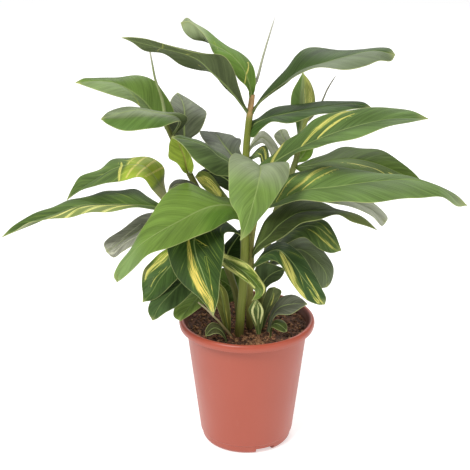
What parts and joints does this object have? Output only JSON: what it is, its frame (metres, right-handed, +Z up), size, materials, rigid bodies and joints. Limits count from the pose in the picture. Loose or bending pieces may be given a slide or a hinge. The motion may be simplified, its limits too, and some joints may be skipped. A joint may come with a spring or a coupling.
{
  "type": "potted shell ginger",
  "caption": "Potted variegated shell ginger: upright canes with long arching striped leaves, rooted in soil in a tapered terracotta-coloured plastic pot.",
  "frame": {"origin": "centre of the pot's flat underside, on the pot's axis", "axes": "+Z up along the pot's axis; -Y towards the front of the plant; +X to its right as seen from the front"},
  "size_m": [0.5927, 0.317, 0.6108],
  "materials": {
    "pot": "satin moulded plastic",
    "soil": "rough, crumbly",
    "cane": "satin, ringed by old sheaths",
    "spear": "satin",
    "dry_stalk": "dry, fibrous",
    "leaf_dark": "satin, ribbed",
    "leaf_mid": "satin, ribbed",
    "leaf_bright": "satin, ribbed",
    "leaf_grey": "matt underside",
    "leaf_striped": "satin, green with yellow stripes"
  },
  "bodies": {
    "root": {"pot": "pot", "soil": "soil", "cane_far_right": "cane", "cane_left": "cane", "cane_low_left": "cane", "cane_main": "cane", "cane_right": "cane", "spear_left": "spear", "spear_right": "spear", "spear_top": "spear", "dry_stalk": "dry_stalk", "leaf_arch_behind": "leaf_grey", "leaf_back_dark": "leaf_dark", "leaf_back_striped": "leaf_striped", "leaf_basal_dark": "leaf_dark", "leaf_basal_grey": "leaf_grey", "leaf_basal_left": "leaf_mid", "leaf_basal_right": "leaf_mid", "leaf_basal_sheath": "leaf_bright", "leaf_basal_striped": "leaf_striped", "leaf_behind_left": "leaf_grey", "leaf_centre_back": "leaf_grey", "leaf_centre_left": "leaf_dark", "leaf_centre_low_striped": "leaf_striped", "leaf_front_centre": "leaf_bright", "leaf_front_left": "leaf_bright", "leaf_front_low": "leaf_striped", "leaf_left_back": "leaf_grey", "leaf_left_canoe": "leaf_mid", "leaf_left_grey": "leaf_grey", "leaf_left_high": "leaf_bright", "leaf_left_long": "leaf_striped", "leaf_left_low_dark": "leaf_dark", "leaf_left_low_yellow": "leaf_dark", "leaf_left_rim": "leaf_mid", "leaf_left_striped": "leaf_striped", "leaf_right_arched": "leaf_mid", "leaf_right_dark": "leaf_dark", "leaf_right_front": "leaf_mid", "leaf_right_hanging": "leaf_striped", "leaf_right_high": "leaf_dark", "leaf_right_inner": "leaf_mid", "leaf_right_low_grey": "leaf_grey", "leaf_right_low_striped": "leaf_striped", "leaf_right_shade": "leaf_dark", "leaf_right_striped": "leaf_mid", "leaf_right_tip": "leaf_grey", "leaf_shade_centre": "leaf_dark", "leaf_shade_low": "leaf_dark", "leaf_small_back": "leaf_grey", "leaf_small_variegated": "leaf_striped", "leaf_top": "leaf_bright", "leaf_top_left": "leaf_dark", "leaf_top_right": "leaf_dark", "leaf_upright_right": "leaf_striped", "leaf_young_left": "leaf_bright"}
  },
  "joints": []
}
